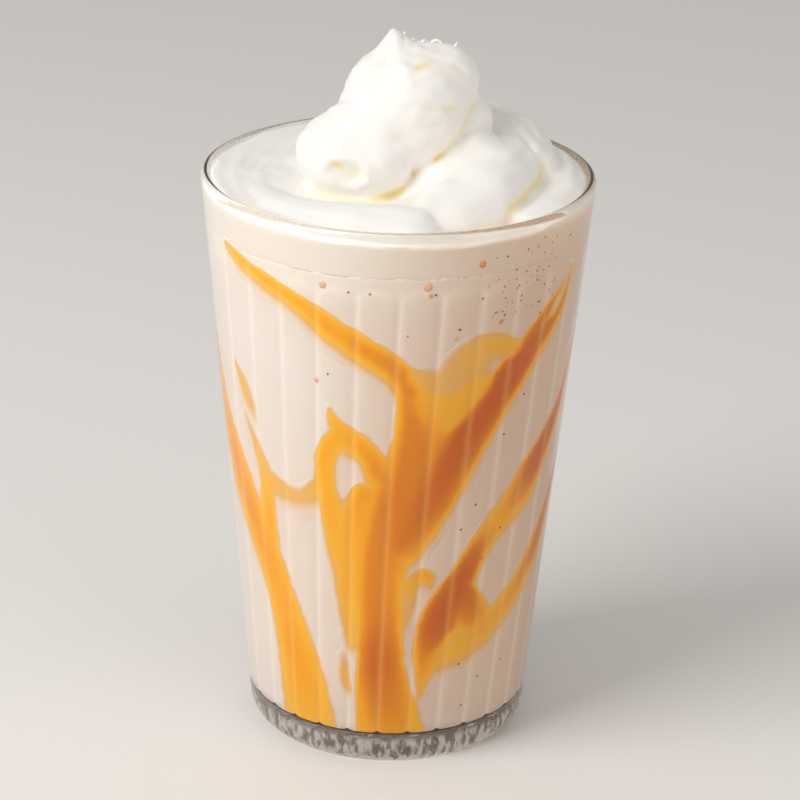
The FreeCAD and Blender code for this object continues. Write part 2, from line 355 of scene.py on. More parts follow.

# %% [markdown]
# ## The caramel
#
# Sauce run down the inside of a glass keeps the shape of its pour: strokes that widen, join and
# thin out.  Each stroke here is a few points: an angle round the glass from its front, a
# level, half a width and how thick the sauce is there.  A gap is the same without the thickness.

# %% The pours
# The thickness numbers also carry painted shade: strokes on the right, away from the key light, are
# given more, so the ramp colours them browner.
POURS = {
    "left_arm": [(-62, 129, 0.5, 0.35), (-51, 126, 1.2, 0.44), (-40, 123.5, 1.6, 0.46),
                 (-30, 120.5, 2.0, 0.46), (-20, 116, 3.0, 0.48), (-10, 111.5, 3.0, 0.56),
                 (0, 107, 3.0, 0.62), (6, 101, 3.0, 0.68)],
    "right_arm": [(66, 124, 0.7, 0.5), (64, 118, 1.5, 0.6), (58, 113, 2.2, 0.75),
                  (49, 108.5, 3.6, 0.95), (41, 103, 4.6, 1.05), (34, 97, 5.0, 1.05),
                  (26, 89, 5.6, 1.0), (18, 80, 6.2, 0.92), (11, 71, 6.4, 0.85), (4, 62, 5.4, 0.75)],
    "arm_fork": [(61, 121, 0.8, 0.5), (57, 118, 1.3, 0.6), (52, 114, 2.2, 0.8),
                 (47, 109, 3.2, 0.95)],
    "arms_film": [(8, 104, 3.2, 0.22), (16, 103, 4.0, 0.17), (25, 108, 5.2, 0.24),
                  (32, 111, 3.2, 0.3), (40, 109, 2.4, 0.35)],
    "film_low": [(12, 98, 5.0, 0.34), (19, 96, 5.6, 0.34), (27, 101, 5.0, 0.32)],
    "arms_meet": [(13, 96, 3.6, 0.45), (13, 87, 4.6, 0.6), (10, 78, 4.6, 0.7)],
    "trunk": [(5, 102, 3.0, 0.64), (7, 94, 4.0, 0.66), (7, 84, 5.6, 0.68), (3, 73, 7.6, 0.68),
              (-2, 62, 6.8, 0.66), (-4, 50, 5.6, 0.64), (-3, 40, 5.2, 0.7), (-2.5, 30, 5.2, 0.9),
              (-1, 20, 6.2, 0.74), (2, 9, 8.0, 0.5)],
    "trunk_left": [(-9, 74, 3.0, 0.52), (-13, 66, 4.2, 0.46), (-15, 56, 3.8, 0.4),
                   (-15, 44, 2.6, 0.34), (-14, 34, 1.4, 0.26)],
    "left_lobe": [(-21, 95.5, 0.3, 0.3), (-19, 92, 1.6, 0.4), (-14, 88, 3.0, 0.46),
                  (-8, 85, 2.8, 0.5), (-3, 79, 3.4, 0.58)],
    "left_lobe_fall": [(-18, 89, 2.4, 0.44), (-22, 84, 2.6, 0.46), (-23, 77, 2.5, 0.42),
                       (-21, 69, 3.0, 0.4), (-19, 60, 2.8, 0.36), (-18, 53, 2.0, 0.28)],
    "drop": [(6, 49, 0.8, 0.4), (9, 51.5, 1.3, 0.44), (13, 53, 1.5, 0.46), (16, 51.5, 1.0, 0.4)],
    "drop_fall": [(8, 50, 2.0, 0.34), (8, 44, 1.5, 0.2), (6, 38, 1.0, 0.14)],
    "spot": [(-17, 30, 1.2, 0.12), (-17, 24, 1.4, 0.24), (-15, 21, 0.8, 0.2)],
    "right_streak": [(77, 95, 1.0, 0.85), (71, 87, 2.4, 0.95), (64, 81, 3.6, 1.0),
                     (57, 75, 4.6, 0.9), (50, 69, 4.6, 0.6), (41, 64, 3.8, 0.42),
                     (34, 58, 3.2, 0.7), (29, 52, 3.4, 1.0), (24, 45, 4.9, 1.05),
                     (19, 38, 4.8, 0.95), (16, 30, 3.4, 0.6), (14, 23, 1.2, 0.4),
                     (14, 19, 0.4, 0.3)],
    "right_fan": [(29, 47, 3.4, 0.95), (33, 41, 4.4, 0.7), (37, 36, 4.8, 0.44), (29, 32, 4.8, 0.32),
                  (21, 30, 3.6, 0.34)],
    "low_streak": [(94, 88, 0.6, 0.5), (88, 78, 1.6, 0.7), (80, 67, 2.4, 0.85),
                   (73, 57, 3.2, 0.8), (65, 49, 3.4, 0.65),
                   (56, 43, 3.4, 0.5), (47, 38, 3.6, 0.42), (40, 35, 4.2, 0.38)],
    "left_stream": [(-87, 113, 1.2, 0.55), (-84, 100, 2.6, 0.55), (-80, 88, 4.0, 0.52),
                    (-74, 78, 5.0, 0.52), (-66, 69, 5.4, 0.52), (-57, 59, 5.2, 0.52),
                    (-50, 50, 4.8, 0.5), (-44, 40, 4.8, 0.46), (-39, 28, 5.8, 0.5),
                    (-36, 17, 6.8, 0.46), (-34, 8, 7.4, 0.34)],
    "left_flick": [(-62, 99, 0.8, 0.16), (-58, 95, 2.0, 0.22), (-55, 91, 2.0, 0.2),
                   (-52, 87, 0.8, 0.12)],
    "left_strand": [(-58, 87, 0.6, 0.16), (-53, 80, 1.7, 0.2), (-49, 73, 2.6, 0.28),
                    (-49, 62, 2.8, 0.42), (-49, 52, 2.8, 0.5)],
    "left_arch": [(-46, 72, 3.0, 0.26), (-38, 70.5, 2.8, 0.18), (-31, 71, 2.6, 0.18),
                  (-26, 74, 2.2, 0.3)],
    "right_side": [(75, 93, 1.6, 0.85), (80, 101, 1.6, 0.75), (86, 111, 1.0, 0.6)],
    "back_arm": [(118, 128, 0.8, 0.4), (130, 113, 3.0, 0.6), (146, 96, 5.0, 0.9),
                 (155, 72, 6.4, 0.7), (158, 44, 5.6, 0.66), (160, 9, 7.0, 0.45)],
    "back_arm_left": [(-128, 127, 0.8, 0.4), (-146, 113, 2.8, 0.5), (-172, 98, 3.8, 0.55),
                      (-200, 79, 5.0, 0.7)],
    "back_fall": [(-112, 96, 1.2, 0.35), (-120, 76, 3.6, 0.5), (-126, 46, 4.2, 0.55),
                  (-130, 9, 5.8, 0.4)],
}
GAPS = {
    "hole": [(-13.5, 80.5, 1.6), (-13.5, 78.5, 0.9), (-14, 75.5, 0.3)],
    "arm_slot": [(59.5, 117, 0.9), (57, 114.5, 0.6)],
}
print("strokes", len(POURS), "gaps", len(GAPS))

# %% [markdown]
# A field says how far each place on the wall is outside the strokes, and how thick the sauce is
# there.  Where strokes meet, their thicknesses are averaged, so they flow into each other.  Sauce
# also runs down a little and leaves a thin film: `RUN_DOWN` lists how far, in mm, and how much.
# The film comes from looking that much higher up the wall.  The gaps are taken out last.

# %% The field
FAR = 1e9
NO_SHARE = 1e-9
SOFT_EDGE = 1.4
GAP_EDGE = 2.2
RUN_DOWN = [(0.9, 0.72), (1.9, 0.45), (3.0, 0.22)]
ROUNDING = 3
EDGE_RIPPLE = 0.4
EDGE_WAVES = [(0.6, 0.7, 3), (0.5, 1.8, 5)]
WAVES = 8
WAVES_ROUND = 40
THIN_EDGE = 0.5
THICK_WITHIN = 1.2
SHARE_SHIFT = 2
SHARE_FADE = 1.6
SHARE_LIMIT = 3
MARGIN = 1.8


def smooth_step(value):
    """0 to 1 with a soft start and a soft end."""
    value = np.clip(value, 0, 1)
    return value * value * (3 - 2 * value)


def rounded(points):
    """A stroke's points joined by a smooth curve through them (Catmull-Rom), with more points."""
    points = np.array(points, float)
    ends = np.vstack([2 * points[0] - points[1], points, 2 * points[-1] - points[-2]])
    route = []
    for before, start, end, after in zip(ends, ends[1:], ends[2:], ends[3:]):
        for share in np.arange(ROUNDING) / ROUNDING:
            bend = (-before + 3 * start - 3 * end + after) * share**3
            bend += (2 * before - 5 * start + 4 * end - after) * share**2
            route.append(start + (bend + (end - before) * share) / 2)
    return route + [points[-1]]


def to_chain(points, u, v):
    """How far points of the wall are outside a stroke, in mm, and the sauce's thickness there."""
    best = np.full(u.shape, FAR)
    thick = np.zeros(u.shape)
    for start, end in zip(points, points[1:]):
        radius = inner_radius((start[1] + end[1]) / 2)
        turn = np.radians((u - start[0] + 180) % 360 - 180) * radius
        along_x = math.radians(end[0] - start[0]) * radius
        along_z = end[1] - start[1]
        share = (turn * along_x + (v - start[1]) * along_z) / (along_x**2 + along_z**2)
        share = np.clip(share, 0, 1)
        away = np.hypot(turn - share * along_x, v - start[1] - share * along_z)
        width = start[2] + (end[2] - start[2]) * share
        value = start[-1] + (end[-1] - start[-1]) * share
        middle = smooth_step(THICK_WITHIN - away / width)
        value = value * (THIN_EDGE + (1 - THIN_EDGE) * middle)
        thick = np.where(away - width < best, value, thick)
        best = np.minimum(away - width, best)
    return best, thick


def wobble(u, v, scale, seed):
    """Smooth unevenness over the wall, from -1 to 1, made of a few seeded waves."""
    waves = random.Random(seed)
    total = np.zeros(u.shape)
    for _ in range(WAVES):
        round_count = round(waves.uniform(-1, 1) * scale * WAVES_ROUND)
        rise = waves.uniform(-1, 1) * scale
        total += np.sin(np.radians(u) * round_count + v * rise + waves.uniform(0, math.tau))
    return total / (WAVES / 2)


def strokes(u, v):
    """The strokes over the wall: how far outside them a place is, in mm, and the thickness."""
    uneven = sum(share * wobble(u, v, scale, seed) for share, scale, seed in EDGE_WAVES)
    ripple = EDGE_RIPPLE * uneven
    outside = np.full(u.shape, FAR)
    shares = np.full(u.shape, NO_SHARE)
    total = np.zeros(u.shape)
    cover = np.zeros(u.shape)
    for points in POURS.values():
        away, thick = to_chain(rounded(points), u, v)
        away = away + ripple
        outside = np.minimum(outside, away)
        inside = smooth_step(0.5 - away / SOFT_EDGE)
        cover = np.maximum(cover, inside)
        depth = np.clip((away + SHARE_SHIFT) / SHARE_FADE, -SHARE_LIMIT, SHARE_LIMIT)
        share = inside * np.exp(-depth)
        shares += share
        total += share * thick
    return outside, cover * total / shares


def sauce(u, v):
    """The strokes and the thin film that each leaves where it has run down the wall."""
    outside, thick = strokes(u, v)
    for drop, share in RUN_DOWN:
        higher_outside, higher_thick = strokes(u, v + drop)
        outside = np.minimum(outside, higher_outside)
        thick = np.maximum(thick, share * higher_thick)
    for points in GAPS.values():
        away, _ = to_chain(points, u, v)
        outside = np.maximum(outside, -away)
        thick = thick * smooth_step(0.5 + away / GAP_EDGE)
    return outside, thick


# %% [markdown]
# The film is cut out of a fine grid that wraps the wall.  Its edge dives just under the drink's
# skin, so what shows of it ends in a soft smooth line, and an extrude gives it the thickness of a
# sauce.  Each point keeps its thickness as an attribute, which the material turns into colour.

# %% Make the caramel
FILM_REACH = 0.8
FILM_UNDER = 0.1
FILM_OVER = 0.08
FILM_RISE = 0.12
FILM_THICK = 0.5
FILM_ROWS = 0.6
FILM_TOP = FILL + 1
FILM_WELD = 0.01
FRONT = 90


def wall_point(angle, level, out):
    """A point of the fluted wall.  angle is in degrees from the front, which is -Y."""
    turns = (math.radians(angle - FRONT) - flute_turn(level)) / PITCH
    across = turns - math.floor(turns + 0.5)
    radius = inner_radius(level) + flute_depth(across, level) + out
    around = math.radians(angle - FRONT)
    return Vector((radius * math.cos(around), radius * math.sin(around), level))


def make_caramel():
    """The covered part of a grid round the wall, given a thickness."""
    columns = FLUTES * COLUMNS
    rows = round((FILM_TOP - FLOOR) / FILM_ROWS)
    bm = bmesh.new()
    bmesh.ops.create_grid(bm, x_segments=columns, y_segments=rows, size=0.5)
    flutes = np.array([vert.co.x + 0.5 for vert in bm.verts]) * FLUTES
    levels = np.array([FLOOR + (vert.co.y + 0.5) * (FILM_TOP - FLOOR) for vert in bm.verts])
    across = np.array([column((turn % 1) * COLUMNS, COLUMNS) for turn in flutes])
    turned = np.array([math.degrees(flute_turn(level)) for level in levels])
    angles = (np.floor(flutes) + across) * math.degrees(PITCH) + turned + FRONT
    glows = [ridge_line(share) * float(level < FLUTE_TOP) for share, level in zip(across, levels)]
    outside, thickness = sauce(angles, levels)
    outs = INTO_WALL + np.clip((FILM_REACH - outside) * FILM_RISE, -FILM_UNDER, FILM_OVER)

    layer = bm.verts.layers.float.new("thick")
    glow = bm.verts.layers.float.new("ridge")
    bare = []
    points = zip(bm.verts, angles, levels, outs, thickness, outside, glows)
    for vert, angle, level, out, thick, away, shine in points:
        vert[layer] = thick
        vert[glow] = shine
        vert.co = wall_point(angle, level, out)
        if away > MARGIN:
            bare.append(vert)
    bmesh.ops.delete(bm, geom=bare, context="VERTS")
    bmesh.ops.remove_doubles(bm, verts=bm.verts, dist=FILM_WELD)
    grown = bmesh.ops.extrude_face_region(bm, geom=bm.faces[:], use_keep_orig=True)["geom"]
    for vert in (item for item in grown if isinstance(item, bmesh.types.BMVert)):
        vert.co -= (vert.co * Vector((1, 1, 0))).normalized() * FILM_THICK
    return to_object(bm, "caramel")


caramel = make_caramel()
print("caramel", len(caramel.data.polygons), "faces")

# %% [markdown]
# ## Specks and drops
#
# Small dark specks cling to the glass, most of them high on the right, where more are scattered by
# a seeded draw.  A few drops of caramel and pale beads were splashed on it too.  Each is a
# flattened ball against the wall, from an angle, a level and a radius.

# %% Specks and drops
SPECKS = [(20, 116, 0.4), (27, 123, 0.3), (12, 125, 0.35), (35, 118, 0.3), (47, 96, 0.35),
          (-21, 104, 0.3), (28, 84, 0.3), (40, 87, 0.35), (31, 70, 0.35), (26, 64, 0.3),
          (43, 62, 0.4), (36, 55, 0.35), (30, 27, 0.4), (40, 22, 0.3), (20, 33, 0.3),
          (-14, 125, 0.3), (53, 24, 0.3), (33, 15, 0.3), (4, 115, 0.25), (50, 116, 0.3)]
SPECK_BAND = {"count": 60, "angle": (24, 66), "level": (118, 135), "size": (0.14, 0.3)}
SPECK_SEED = 7
DROPS = [(26, 131.5, 0.85), (10.5, 124.8, 0.5), (-7.5, 125, 0.35), (34, 116.5, 0.6),
         (32, 119, 0.35)]
BEADS = [(9.5, 127, 1.0), (-22, 126, 0.9), (-25, 102, 0.7), (19, 114, 0.6), (46, 133, 0.5)]
FLAT = 0.35
SPECK_OUT, DROP_OUT, BEAD_OUT = 0.03, 0.02, 0.01
SPECK_DETAIL, DROP_DETAIL = 1, 3


def on_wall(places, out, name, level_of_detail):
    """Flattened balls on the wall from (angle, level, radius)."""
    bm = bmesh.new()
    for angle, level, radius in places:
        turn = Matrix.Rotation(math.radians(angle - FRONT), 4, "Z")
        squash = Matrix.Diagonal((FLAT, 1.0, 1.0, 1.0))
        matrix = Matrix.Translation(wall_point(angle, level, out)) @ turn @ squash
        bmesh.ops.create_icosphere(bm, subdivisions=level_of_detail, radius=radius, matrix=matrix)
    return to_object(bm, name)


def scattered(band, seed):
    """Seeded places in a band of the wall, thickest in its middle."""
    chance = random.Random(seed)
    return [(chance.triangular(*band["angle"]), chance.uniform(*band["level"]),
             chance.uniform(*band["size"])) for _ in range(band["count"])]


speck_places = SPECKS + scattered(SPECK_BAND, SPECK_SEED)
specks = on_wall(speck_places, INTO_WALL + SPECK_OUT, "specks", SPECK_DETAIL)
drops = on_wall(DROPS, INTO_WALL + DROP_OUT, "caramel_drops", DROP_DETAIL)
beads = on_wall(BEADS, INTO_WALL + BEAD_OUT, "beads", DROP_DETAIL)
print("specks", len(speck_places), "drops", len(DROPS), "beads", len(BEADS))

# %% [markdown]
# ## The whipped cream
#
# Spooned cream is a soft rope that folds over itself.  It is built like clay: balls strung along a
# few paths give the ropes, a voxel remesh fuses them into one skin with valleys where they meet,
# and smoothing softens the skin.  Every ball is a place and a radius.  What the big balls leave
# below the fill is cut away, because the drink is there.

# %% The ropes of cream
BED_MIDDLE = HEIGHT - 1.7
BED_RISE = 1.4
BED_HIGH_SIDE = Vector((-0.5, 0.87, 0))
ROPES = {
    "mound": [(-3, -3, 84, 58), (3, 2, 85, 58)],
    "left_rear": [(-22, -6, 111.5, 26), (-20, 10, 113, 27), (-8, 20, 114.5, 27)],
    "rear": [(-12, 24, 136, 10), (-2, 27, 138, 11.5), (10, 24, 139.5, 12), (20, 18, 140, 12),
             (25, 10, 139.5, 11.8), (27, 1, 138, 11.2)],
    "right": [(24, -2, 138, 11.8), (21, -10, 137, 12.5), (18, -17, 135.5, 12.4),
              (12, -23, 134, 11), (2, -27, 132.5, 9)],
    "outer": [(28, 24, 132, 8.5), (34.5, 12, 134, 8.6), (37.5, 2, 134, 8), (37.5, -8, 133.6, 7.6),
              (34, -18, 133, 7.4), (30, -25, 132.6, 6.4)],
    "ring": [(4, 12, 150.5, 10), (10.5, 6, 151.5, 10), (12.6, 0, 152, 9), (9, -4, 148, 8)],
    "under_ring": [(17, -6, 142.5, 10), (12, -12, 138, 10), (5, -14, 133, 10)],
    "front_roll": [(-33, 0, 131, 8), (-32, -10, 131, 8.2), (-27, -20, 131.3, 8.6),
                   (-18, -27, 131.6, 9.2), (-8, -31, 131.6, 10), (2, -32, 132.4, 9.4)],
    "dollop": [(0, 2, 151, 14.5), (1, -2, 153.4, 15.6), (2.5, -2, 157, 14.6), (9.2, -1, 162, 9)],
    "tip": [(0, -2, 157, 13.6), (0.5, -2, 161.5, 10), (-0.6, -2, 166, 6.6), (-1.4, -2, 170.2, 3.4),
            (-2, -2, 173.4, 1.2)],
    "ear": [(-2, 8, 147, 11), (-12, 3, 145, 9.2), (-15, -6, 146, 9), (-12, -11, 145.8, 9.4),
            (-5, -13, 145.5, 8.4)],
    "ear_join": [(-3, -7, 151, 11.6), (-9, -8, 148.5, 10.6)],
}
BALL_SPACING = 0.2
BALL_DETAIL, BIG_BALL_DETAIL = 3, 4
BIG_BALL = 20
SMALLEST_BALL = 1.5
CREAM_VOXEL = 0.55
SOFTEN_SHARE = 0.5
SOFTEN_PASSES = 6
BED_DEPTH = 0.5
BED_SIDES = 128
CUT_LEVEL = FILL - 0.4


def bed_level(x, y):
    """The cream's level at the wall: it slopes up towards one side."""
    return BED_MIDDLE + BED_RISE * Vector((x, y, 0)).dot(BED_HIGH_SIDE) / inner_radius(HEIGHT)


def string_balls(bm, path):
    """Overlapping balls along a path of (x, y, z, radius)."""
    for start, end in zip(path, path[1:]):
        start, end = np.array(start, float), np.array(end, float)
        length = np.linalg.norm((end - start)[:3])
        steps = max(2, math.ceil(length / (BALL_SPACING * max(end[3], SMALLEST_BALL))))
        for index in range(steps + 1):
            x, y, z, radius = start + (end - start) * index / steps
            detail = BALL_DETAIL if radius < BIG_BALL else BIG_BALL_DETAIL
            bmesh.ops.create_icosphere(bm, subdivisions=detail, radius=radius,
                                       matrix=Matrix.Translation((x, y, z)))


def fuse(piece, voxel, smoothing):
    """One skin round everything in a piece, by a voxel remesh, then softened."""
    remesh = piece.modifiers.new("fuse", "REMESH")
    remesh.mode = "VOXEL"
    remesh.voxel_size = voxel * MM
    soften = piece.modifiers.new("soften", "SMOOTH")
    soften.factor = SOFTEN_SHARE
    soften.iterations = smoothing
    bpy.context.view_layer.update()
    skin = bpy.data.meshes.new_from_object(
        piece.evaluated_get(bpy.context.evaluated_depsgraph_get()))
    piece.modifiers.clear()
    old, piece.data = piece.data, skin
    bpy.data.meshes.remove(old)


def trim_below(piece, level):
    """Cut away what a piece has below a level, and close the cut."""
    bm = bmesh.new()
    bm.from_mesh(piece.data)
    cut = bmesh.ops.bisect_plane(bm, geom=bm.verts[:] + bm.edges[:] + bm.faces[:],
                                 plane_co=(0, 0, level * MM), plane_no=(0, 0, 1), clear_inner=True)
    loop = [part for part in cut["geom_cut"] if isinstance(part, bmesh.types.BMEdge)]
    bmesh.ops.holes_fill(bm, edges=loop)
    bmesh.ops.recalc_face_normals(bm, faces=bm.faces)
    print("open edges after the cut", sum(edge.is_boundary for edge in bm.edges))
    bm.to_mesh(piece.data)
    bm.free()


def heap_cream():
    """The level bed and the ropes on it, fused into one skin and cut off at the drink."""
    bm = bmesh.new()
    low, high = FILL - BED_DEPTH, BED_MIDDLE
    bmesh.ops.create_cone(bm, cap_ends=True, segments=BED_SIDES, radius1=inner_radius(low),
                          radius2=inner_radius(high), depth=high - low,
                          matrix=Matrix.Translation((0, 0, (low + high) / 2)))
    for vert in bm.verts:
        if vert.co.z > high - 0.1:
            vert.co.z = bed_level(vert.co.x, vert.co.y)
    for path in ROPES.values():
        string_balls(bm, path)
    piece = to_object(bm, "whipped")
    fuse(piece, CREAM_VOXEL, SOFTEN_PASSES)
    trim_below(piece, CUT_LEVEL)
    return piece


whipped = heap_cream()
print("whipped cream", len(whipped.data.polygons), "faces")

# %% [markdown]
# The fused skin is then worked over like clay.  A fold is a line on the skin with a width: a
# positive height raises a crest along it and a negative one presses a valley.  Its last number is
# how much painted butter-yellow shade goes there.  Noise drawn out along the circle that the
# spoon went round gives the ripples.  Valleys are found by comparing each point with its
# neighbours, and are kept as the attribute "crease", which the material turns yellower as
# painted shade.

# %% Work the cream
# The last number of each fold is painted shade: butter yellow laid into creases and hollows.
FOLDS = {
    "tip_crest": (1.6, 0.5, 0.0, [(-2, -4, 173), (-1, -7, 171), (-1, -10, 169), (1, -12, 167)]),
    "tip_valley": (1.3, -0.5, 0.0, [(-3, -5, 172), (-4, -8, 170), (-4, -11, 167)]),
    "ball_top": (1.0, -0.35, 0.1, [(2, -10, 169), (6, -8, 170), (11, -7, 168), (15, -7, 166)]),
    "ball_high": (1.1, -0.3, 0.0, [(4, -14, 165), (10, -12, 166), (16, -8, 163)]),
    "dimple_high": (0.9, -0.5, 0.7, [(4, -11, 168), (7, -10, 169)]),
    "ball_low": (1.2, -0.35, 0.1, [(7, -16, 159), (11, -14, 159), (15, -11, 159)]),
    "dimple_low": (0.8, -0.4, 0.6, [(11, -14, 159), (14, -12, 159)]),
    "ball_front": (1.6, -0.3, 0.0, [(-1, -18, 153), (6, -18, 155), (12, -14, 156)]),
    "front_crest": (2.2, 0.6, 0.0, [(5, -33, 139), (6, -29, 142), (8, -25, 144), (10, -24, 144)]),
    "front_valley": (2.0, -0.3, 0.1, [(3, -34, 138), (3, -30, 141), (5, -25, 143)]),
    "front_crest_left": (2.0, 0.4, 0.0, [(-1, -36, 137), (0, -32, 139), (2, -28, 141)]),
    "bed_arc": (1.4, -0.25, 0.0, [(-40, 2, 137), (-37, 14, 138), (-29, 26, 138), (-16, 33, 139)]),
    "bed_arc_in": (1.6, -0.25, 0.0, [(-35, -2, 138), (-32, 12, 139), (-25, 22, 140)]),
    "ear_rim": (1.2, 0.7, 0.0, [(-17, -18, 145), (-16, -19, 148), (-13, -20, 149), (-9, -20, 149),
                                (-7, -21, 147), (-7, -21, 144), (-10, -20, 142), (-14, -20, 142),
                                (-17, -18, 145)]),
    "ear_hollow": (2.0, -1.3, 0.1, [(-14, -20, 147), (-12, -20, 146), (-10, -21, 145)]),
    "ear_mark": (0.8, 0.0, 0.8, [(-15, -20, 147.5), (-13, -20, 146.5)]),
    "ear_mark_low": (0.7, 0.0, 0.7, [(-11, -20, 144.8), (-10, -20, 144.4)]),
    "under_ball": (1.1, -0.35, 0.8, [(-5, -20, 139), (0, -18.5, 140.5), (4, -16, 142),
                                     (6.5, -14, 144), (9, -14, 148)]),
    "beside_ball": (1.0, -0.35, 0.5, [(10, -13.5, 149), (11.5, -12.5, 150.5), (13.5, -10.5, 153),
                                     (16.5, -6, 158)]),
    "under_ear": (0.8, -0.3, 0.5, [(-19, -13, 139), (-16, -17, 139), (-13, -19, 139),
                                   (-9, -20, 139), (-5, -20, 139)]),
    "ring_crease": (1.1, -0.2, 0.2, [(12, -14, 148), (15, -11, 149), (19, -7, 150)]),
    "right_crease": (1.2, -0.6, 0.6, [(25, -28, 138), (26, -25, 140), (29, -20, 141),
                                      (31, -15, 142), (33, -10, 142), (34, -6, 144)]),
    "right_arc": (1.0, -0.4, 0.1, [(23, 14, 152), (27, 9, 151), (30, 6, 149), (33, 2, 148)]),
    "right_arc_in": (1.0, -0.4, 0.0, [(23, 8, 151), (26, 4, 150), (29, 0, 149), (31, -4, 147)]),
}
BROAD_BUMP = 0.4
BROAD_PER_MM = 0.11
RIPPLE = 0.32
RIPPLES_ROUND = 3
RIPPLES_PER_MM = 0.38
BED_EDGE = 0.6
NEAR_WALL = 1.3
VALLEY_PASSES = 4
VALLEY_FROM = 0.02
VALLEY_GAIN = 10
VALLEY_MOST = 0.6


def to_line(places, line):
    """Each place's distance to a line through a few points."""
    nearest = np.full(len(places), FAR)
    for start, end in zip(line, line[1:]):
        start, along = np.array(start, float), np.subtract(end, start).astype(float)
        share = np.clip((places - start) @ along / (along @ along), 0, 1)
        away = np.linalg.norm(places - start - share[:, None] * along, axis=1)
        nearest = np.minimum(nearest, away)
    return nearest


def ripple(x, y, z):
    """Noise drawn out round the axis, so its ripples run along the cream's swirl."""
    round_axis = math.atan2(y, x) * RIPPLES_ROUND
    outwards = math.hypot(x, y) * RIPPLES_PER_MM
    return noise.noise(Vector((round_axis, outwards, z * RIPPLES_PER_MM)))


def press_on_glass(x, y, z):
    """A place moved onto the glass where the cream touches or passes it."""
    limit = inner_radius(min(z, HEIGHT)) + INTO_WALL
    radius = math.hypot(x, y)
    if radius > limit or (z < bed_level(x, y) - BED_EDGE and radius > limit - NEAR_WALL):
        x, y = x * limit / radius, y * limit / radius
    return x, y, max(z, CUT_LEVEL)


def work_cream(piece):
    """Press the folds and ripples into the skin, and mark its valleys."""
    mesh = piece.data
    places = np.array([vert.co[:] for vert in mesh.vertices]) / MM
    normals = np.array([vert.normal[:] for vert in mesh.vertices])
    bumps = [BROAD_BUMP * noise.noise(Vector(place) * BROAD_PER_MM) + RIPPLE * ripple(*place)
             for place in places]
    push, tint = np.array(bumps), np.zeros(len(places))
    for width, height, shade_yellow, line in FOLDS.values():
        near = np.exp(-((to_line(places, line) / width) ** 2))
        push += height * near
        tint = np.maximum(tint, shade_yellow * near)
    places = places + normals * push[:, None]
    for vert, place in zip(mesh.vertices, places):
        vert.co = Vector(press_on_glass(*place)) * MM

    bm = bmesh.new()
    bm.from_mesh(mesh)
    bm.normal_update()
    layer = bm.verts.layers.float.new("crease")
    hollow = {}
    for vert in bm.verts:
        ring = [edge.other_vert(vert).co for edge in vert.link_edges]
        hollow[vert] = (sum(ring, Vector()) / len(ring) - vert.co).dot(vert.normal) / MM
    for _ in range(VALLEY_PASSES):
        around = {vert: sum(hollow[edge.other_vert(vert)] for edge in vert.link_edges)
                  for vert in bm.verts}
        hollow = {vert: (hollow[vert] + around[vert]) / (1 + len(vert.link_edges))
                  for vert in bm.verts}
    # The crease value is painted shade, which the material turns butter yellow.
    for vert, shade_yellow in zip(bm.verts, tint):
        valley = min(max(hollow[vert] - VALLEY_FROM, 0) * VALLEY_GAIN, VALLEY_MOST)
        vert[layer] = max(valley, shade_yellow)
    bm.to_mesh(mesh)
    bm.free()
    mesh.polygons.foreach_set("use_smooth", [True] * len(mesh.polygons))


work_cream(whipped)
print("folds pressed in", len(FOLDS))

# %% [markdown]
# Where the spoon pulled away it left small peaks and a curl at the top.  Each is a curve with a
# round section that thins to a point.

# %% Peaks
PEAKS = {
    "beside_tip": [(-0.2, -1, 171.6, 1.0), (0.4, -1, 172.8, 0.5), (0.7, -1, 173.6, 0.12)],
    "low": [(2.0, -1, 170.2, 1.0), (2.4, -1, 171.4, 0.5), (2.6, -1.2, 172.2, 0.12)],
    "middle": [(4.2, -1, 170.0, 0.9), (4.6, -1, 171.2, 0.45), (5.2, -1.2, 172.0, 0.12)],
    "curl": [(6.4, -1, 169.6, 0.8), (6.7, -1, 170.9, 0.45), (7.4, -1, 171.7, 0.4),
             (8.5, -1, 171.6, 0.35), (9.2, -1, 170.9, 0.3), (9.0, -1, 170.2, 0.2)],
    "bridge": [(9.0, -1, 169.3, 0.8), (10.2, -1, 170.1, 0.5), (11.2, -1, 169.9, 0.5)],
    "right": [(11.3, -1, 168.8, 0.9), (12.0, -1, 170.1, 0.45), (12.7, -1, 171.4, 0.12)],
}
PEAK_DETAIL = 3
PEAK_ORDER = 3


def make_peaks():
    """One curve object with a round section, a spline for each peak."""
    curve = bpy.data.curves.new("peaks", "CURVE")
    curve.dimensions = "3D"
    curve.bevel_depth = MM
    curve.bevel_resolution = PEAK_DETAIL
    curve.use_fill_caps = True
    for points in PEAKS.values():
        spline = curve.splines.new("NURBS")
        spline.points.add(len(points) - 1)
        spline.order_u = PEAK_ORDER
        spline.use_endpoint_u = True
        for point, (x, y, z, radius) in zip(spline.points, points):
            point.co = (x * MM, y * MM, z * MM, 1)
            point.radius = radius
    piece = bpy.data.objects.new("peaks", curve)
    bpy.context.scene.collection.objects.link(piece)
    return piece


peaks = make_peaks()
print("peaks", len(peaks.data.splines))

# %% [markdown]
# ## Materials
#
# Shader maths reads better as Python than as a web of nodes.  `Value` wraps a socket and turns
# + - * / into Math nodes.  `Material` adds any other node from its type, its settings and what
# goes into its sockets.

